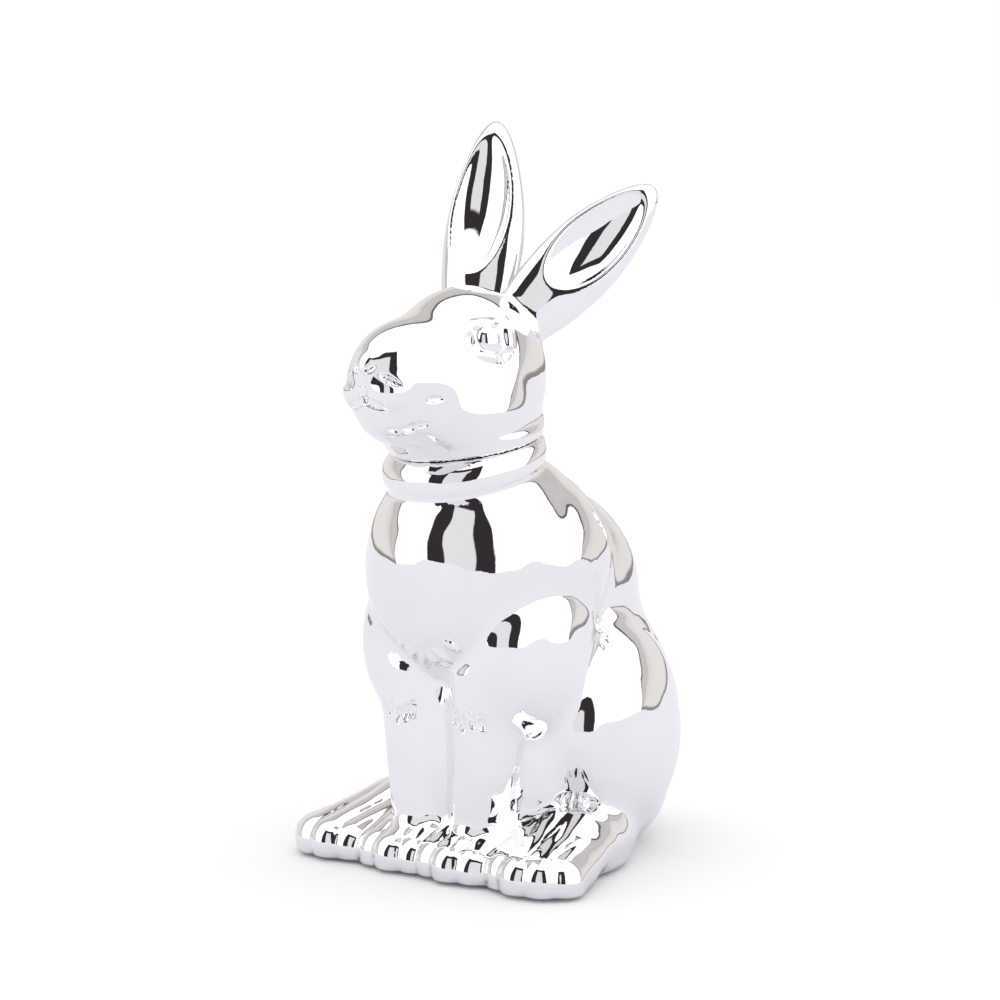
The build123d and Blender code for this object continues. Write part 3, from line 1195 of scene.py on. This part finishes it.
# --------------------------------------------------------------------------- node graphs
class Graph:
    """A small hand for wiring shader nodes."""

    def __init__(self, tree: bpy.types.NodeTree) -> None:
        """Keep the tree that the nodes go into."""
        self.tree = tree
        self.place: Socket | None = None

    def node(self, kind: str, **settings: object) -> bpy.types.Node:
        """Add a node of a kind and set its properties."""
        made = self.tree.nodes.new(kind)
        for key, value in settings.items():
            setattr(made, key, value)
        return made

    def feed(self, socket: Socket, value: object) -> None:
        """Link a socket to another, or set its value."""
        if isinstance(value, bpy.types.NodeSocket):
            self.tree.links.new(value, socket)
        else:
            socket.default_value = value

    def math(self, operation: str, *values: object) -> Socket:
        """Return the result of a math operation on values or sockets."""
        made = self.node("ShaderNodeMath", operation=operation)
        for socket, value in zip(made.inputs, values):
            self.feed(socket, value)
        return made.outputs[0]

    def dot(self, vector: Socket, axis: Vec3) -> Socket:
        """Return how far a vector runs along an axis."""
        made = self.node("ShaderNodeVectorMath", operation="DOT_PRODUCT")
        self.feed(made.inputs[0], vector)
        self.feed(made.inputs[1], axis)
        return made.outputs["Value"]

    def ramp(self, value: Socket, span: Span, ends: Span = (0.0, 1.0)) -> Socket:
        """Return a smooth step between two ends as the value crosses the span."""
        made = self.node("ShaderNodeMapRange", interpolation_type="SMOOTHSTEP")
        self.feed(made.inputs["Value"], value)
        for key, number in zip(("From Min", "From Max", "To Min", "To Max"), (*span, *ends)):
            self.feed(made.inputs[key], number)
        return made.outputs["Result"]

    def band(self, value: Socket, span: Span, soft: float) -> Socket:
        """Return 1 inside a span and 0 outside, with soft edges."""
        low, high = span
        rise = self.ramp(value, (low - soft, low + soft))
        fall = self.ramp(value, (high - soft, high + soft), (1.0, 0.0))
        return self.math("MULTIPLY", rise, fall)

    def noise(self, scale: float, detail: float, warp: float = 0.0) -> Socket:
        """Make soft noise that lies still on the piece.

        Args:
            scale: Number of waves in a metre.
            detail: Number of finer layers.
            warp: How far the pattern is stirred.

        Returns:
            The noise, from 0 to 1.
        """
        if self.place is None:
            self.place = self.node("ShaderNodeTexCoord").outputs["Object"]
        made = self.node("ShaderNodeTexNoise")
        settings = {"Vector": self.place, "Scale": scale, "Detail": detail, "Distortion": warp}
        for key, value in settings.items():
            self.feed(made.inputs[key], value)
        return made.outputs["Fac"]

    def bump(self, height: Socket, strength: float, distance: float,
             under: Socket | None = None) -> Socket:
        """Raise the surface by a height.

        Args:
            height: The height, from 0 to 1.
            strength: Share of the effect.
            distance: Depth in metres.
            under: A normal that this one lies on.

        Returns:
            The new normal.
        """
        made = self.node("ShaderNodeBump")
        for key, value in (("Height", height), ("Strength", strength), ("Distance", distance)):
            self.feed(made.inputs[key], value)
        if under is not None:
            self.feed(made.inputs["Normal"], under)
        return made.outputs["Normal"]

    def mix(self, share: Socket, first: Socket | Vec3, second: Socket | Vec3) -> Socket:
        """Return a blend of two colours."""
        made = self.node("ShaderNodeMix", data_type="RGBA")
        self.feed(made.inputs["Factor"], share)
        for key, value in (("A", first), ("B", second)):
            socket = next(s for s in made.inputs if s.name == key and s.type == "RGBA")
            self.feed(socket, (*value, 1.0) if isinstance(value, tuple) else value)
        return next(s for s in made.outputs if s.type == "RGBA")


def new_material(name: str) -> tuple[bpy.types.Material, bpy.types.Node, Graph]:
    """Return an empty node material, its main shader and its graph."""
    material = bpy.data.materials.new(name)
    material.use_nodes = True
    return material, material.node_tree.nodes["Principled BSDF"], Graph(material.node_tree)


# --------------------------------------------------------------------------- finishes
@dataclass(frozen=True)
class SilverMirror:
    """Electroplated silver over a smooth glaze, with faint clouding and a slow ripple."""

    name: str = "silver_mirror"
    bright: Vec3 = (0.915, 0.913, 0.92)
    clouded: Vec3 = (0.875, 0.87, 0.875)
    cloud_noise: Span = (18.0, 3.0)
    cloud_span: Span = (0.35, 0.75)
    haze_noise: Span = (65.0, 4.0)
    haze_span: Span = (0.45, 0.8)
    roughness: Span = (0.008, 0.035)
    ripple_noise: Span = (42.0, 0.0)
    ripple_bump: Span = (0.10, 0.002)
    peel_noise: Span = (520.0, 1.0)
    peel_bump: Span = (0.012, 0.0005)

    def material(self) -> bpy.types.Material:
        """Mix the finish.

        Returns:
            The material.
        """
        material, shader, graph = new_material(self.name)
        cloud = graph.ramp(graph.noise(*self.cloud_noise), self.cloud_span)
        graph.feed(shader.inputs["Base Color"], graph.mix(cloud, self.bright, self.clouded))
        haze = graph.ramp(graph.noise(*self.haze_noise), self.haze_span, self.roughness)
        graph.feed(shader.inputs["Roughness"], haze)
        shader.inputs["Metallic"].default_value = 1.0
        slow = graph.bump(graph.noise(*self.ripple_noise), *self.ripple_bump)
        fine = graph.bump(graph.noise(*self.peel_noise), *self.peel_bump, slow)
        graph.feed(shader.inputs["Normal"], fine)
        return material


@dataclass(frozen=True)
class SealSilicone:
    """Milky translucent silicone with a dusty moulded skin."""

    name: str = "seal_silicone"
    milky: Vec3 = (0.80, 0.82, 0.83)
    dusty: Vec3 = (0.66, 0.67, 0.68)
    dust_noise: Span = (140.0, 4.0)
    dust_span: Span = (0.4, 0.75)
    rough_span: Span = (0.3, 0.8)
    roughness: Span = (0.36, 0.58)
    grain_noise: Span = (1500.0, 2.0)
    grain_bump: Span = (0.12, 0.0003)
    ior: float = 1.42
    glow: float = 0.25
    glow_depth: float = 0.003

    def material(self) -> bpy.types.Material:
        """Mix the finish.

        Returns:
            The material.
        """
        material, shader, graph = new_material(self.name)
        dust = graph.noise(*self.dust_noise)
        tone = graph.mix(graph.ramp(dust, self.dust_span), self.milky, self.dusty)
        graph.feed(shader.inputs["Base Color"], tone)
        graph.feed(shader.inputs["Roughness"], graph.ramp(dust, self.rough_span, self.roughness))
        shader.inputs["IOR"].default_value = self.ior
        shader.inputs["Subsurface Weight"].default_value = self.glow
        shader.inputs["Subsurface Scale"].default_value = self.glow_depth
        grain = graph.bump(graph.noise(*self.grain_noise), *self.grain_bump)
        graph.feed(shader.inputs["Normal"], grain)
        return material


@dataclass(frozen=True)
class PadFelt:
    """Pressed grey wool felt with loose fibres."""

    name: str = "pad_felt"
    light: Vec3 = (0.42, 0.41, 0.40)
    dark: Vec3 = (0.22, 0.21, 0.21)
    fibre_noise: Vec3 = (2600.0, 5.0, 2.2)
    clump_noise: Span = (420.0, 3.0)
    clump_share: float = 0.5
    tone_span: Span = (0.35, 0.65)
    rough_span: Span = (0.3, 0.7)
    roughness: Span = (0.86, 0.98)
    fibre_bump: Span = (0.5, 0.0006)
    sheen: float = 0.35
    sheen_rough: float = 0.5

    def material(self) -> bpy.types.Material:
        """Mix the finish.

        Returns:
            The material.
        """
        material, shader, graph = new_material(self.name)
        fibres = graph.noise(*self.fibre_noise)
        clumps = graph.noise(*self.clump_noise)
        thin = graph.math("MULTIPLY", fibres, 1.0 - self.clump_share)
        mixed = graph.math("MULTIPLY_ADD", clumps, self.clump_share, thin)
        tone = graph.mix(graph.ramp(mixed, self.tone_span), self.dark, self.light)
        graph.feed(shader.inputs["Base Color"], tone)
        graph.feed(shader.inputs["Roughness"], graph.ramp(clumps, self.rough_span, self.roughness))
        shader.inputs["Sheen Weight"].default_value = self.sheen
        shader.inputs["Sheen Roughness"].default_value = self.sheen_rough
        graph.feed(shader.inputs["Normal"], graph.bump(fibres, *self.fibre_bump))
        return material


# --------------------------------------------------------------------------- studio
@dataclass(frozen=True)
class Studio:
    """White soft boxes round the jar, with a dark gap between them and a warm wall behind.

    All the spans are in degrees: turn is measured sideways from the camera's own side, rise from
    the horizon, and over from the camera's side up across the top and down behind the jar.
    """

    swing: float = math.radians(38.0)
    distance: float = 0.95
    height: float = 0.235
    pitch: float = math.radians(5.13)
    lens: float = 83.16
    camera_shift: Span = (0.004, -0.011)
    floor_size: float = 60.0
    floor_seen: Vec3 = (0.94, 0.94, 0.94)
    floor_reflected: Vec3 = (0.79, 0.79, 0.83)
    floor_rough: float = 0.9
    box_white: Vec3 = (1.32, 1.32, 1.33)
    gap_black: Vec3 = (0.035, 0.03, 0.033)
    gap_turn: Span = (-56.0, 14.0)
    gap_top: Span = (57.0, 59.0)
    gap_grey: Vec3 = (0.83, 0.82, 0.84)
    grey_turn: Span = (-35.0, -5.0)
    grey_top: Span = (47.0, 49.0)
    wall: Vec3 = (0.84, 0.81, 0.785)
    wall_dark: Vec3 = (0.60, 0.575, 0.57)
    wall_over: Span = (122.5, 124.5)
    wall_fade: Span = (128.0, 165.0)
    fold_over: Span = (140.0, 147.0)
    fold_soft: float = 3.0
    edge_dark: Vec3 = (0.16, 0.14, 0.14)
    edge_over: Span = (124.0, 127.5)
    line_soft: Vec3 = (0.30, 0.28, 0.28)
    line_rise: Span = (-1.0, 1.6)
    edge_soft: float = 0.8
    fill: Vec3 = (1.14, 1.14, 1.14)
    backdrop: Vec3 = (1.0, 1.0, 1.0)

    def add_camera(self) -> None:
        """Aim the camera at the jar from its front left."""
        data = bpy.data.cameras.new("camera")
        data.lens = self.lens
        data.sensor_width = 36.0
        camera = bpy.data.objects.new("camera", data)
        x = math.sin(self.swing) * self.distance + self.camera_shift[0]
        y = -math.cos(self.swing) * self.distance + self.camera_shift[1]
        camera.location = (x, y, self.height)
        camera.rotation_euler = (math.pi / 2 - self.pitch, 0.0, self.swing)
        bpy.context.scene.collection.objects.link(camera)
        bpy.context.scene.camera = camera

    def wall_tone(self, graph: Graph, over: Socket, rise: Socket) -> Socket:
        """Paint the wall behind: a fade, one fold and a soft line at the floor."""
        wall = graph.mix(graph.ramp(over, self.wall_fade), self.wall_dark, self.wall)
        fold = graph.band(over, self.fold_over, self.fold_soft)
        wall = graph.mix(fold, wall, self.wall_dark)
        return graph.mix(graph.band(rise, self.line_rise, self.edge_soft), wall, self.line_soft)

    def add_world(self) -> None:
        """Build the soft boxes, the gap and the wall as the light all round."""
        world = bpy.data.worlds.new("studio")
        bpy.context.scene.world = world
        world.use_nodes = True
        graph = Graph(world.node_tree)
        way = graph.node("ShaderNodeTexCoord").outputs["Generated"]
        front = graph.dot(way, (math.sin(self.swing), -math.cos(self.swing), 0.0))
        side = graph.dot(way, (math.cos(self.swing), math.sin(self.swing), 0.0))
        up = graph.dot(way, (0.0, 0.0, 1.0))
        above = graph.math("MAXIMUM", up, 0.0)
        turn = graph.math("DEGREES", graph.math("ARCTAN2", side, front))
        rise = graph.math("DEGREES", graph.math("ARCSINE", up))
        over = graph.math("DEGREES", graph.math("ARCTAN2", above, front))
        wall = self.wall_tone(graph, over, rise)
        room = graph.mix(graph.ramp(over, self.wall_over), self.box_white, wall)
        room = graph.mix(graph.band(over, self.edge_over, self.edge_soft), room, self.edge_dark)
        for sides, top, tone in ((self.gap_turn, self.gap_top, self.gap_black),
                                 (self.grey_turn, self.grey_top, self.gap_grey)):
            below = graph.ramp(rise, top, (1.0, 0.0))
            share = graph.math("MULTIPLY", graph.band(turn, sides, self.edge_soft), below)
            room = graph.mix(share, room, tone)
        path = graph.node("ShaderNodeLightPath")
        room = graph.mix(path.outputs["Is Diffuse Ray"], room, self.fill)
        room = graph.mix(path.outputs["Is Camera Ray"], room, self.backdrop)
        graph.feed(world.node_tree.nodes["Background"].inputs["Color"], room)

    def add_floor(self) -> None:
        """Lay a wide pale floor."""
        bpy.ops.mesh.primitive_plane_add(size=self.floor_size)
        floor = bpy.context.object
        floor.name = "floor"
        material, shader, graph = new_material("floor_paper")
        seen = graph.node("ShaderNodeLightPath").outputs["Is Camera Ray"]
        tone = graph.mix(seen, self.floor_reflected, self.floor_seen)
        graph.feed(shader.inputs["Base Color"], tone)
        shader.inputs["Roughness"].default_value = self.floor_rough
        shader.inputs["Specular IOR Level"].default_value = 0.0
        floor.data.materials.append(material)

    def build(self) -> None:
        """Set up camera, floor and light."""
        self.add_camera()
        self.add_floor()
        self.add_world()
        bpy.context.scene.view_settings.view_transform = "Standard"


def main() -> None:
    """Build the studio and every piece."""
    logging.basicConfig(level=logging.INFO, format="%(name)s: %(message)s")
    Studio().build()
    silver = SilverMirror().material()
    felt = PadFelt().material()
    makers = [(JarBody(), silver), (RabbitHead(), silver), (LidSeal(), SealSilicone().material())]
    makers += [(FloorPad(node=node), felt) for node in PAD_NODES]
    for maker, finish in makers:
        piece = maker.build()
        maker.dress(piece, finish)
        piece.data.calc_loop_triangles()
        LOG.info("%s: %d triangles", piece.name, len(piece.data.loop_triangles))


if __name__ == "__main__":
    main()
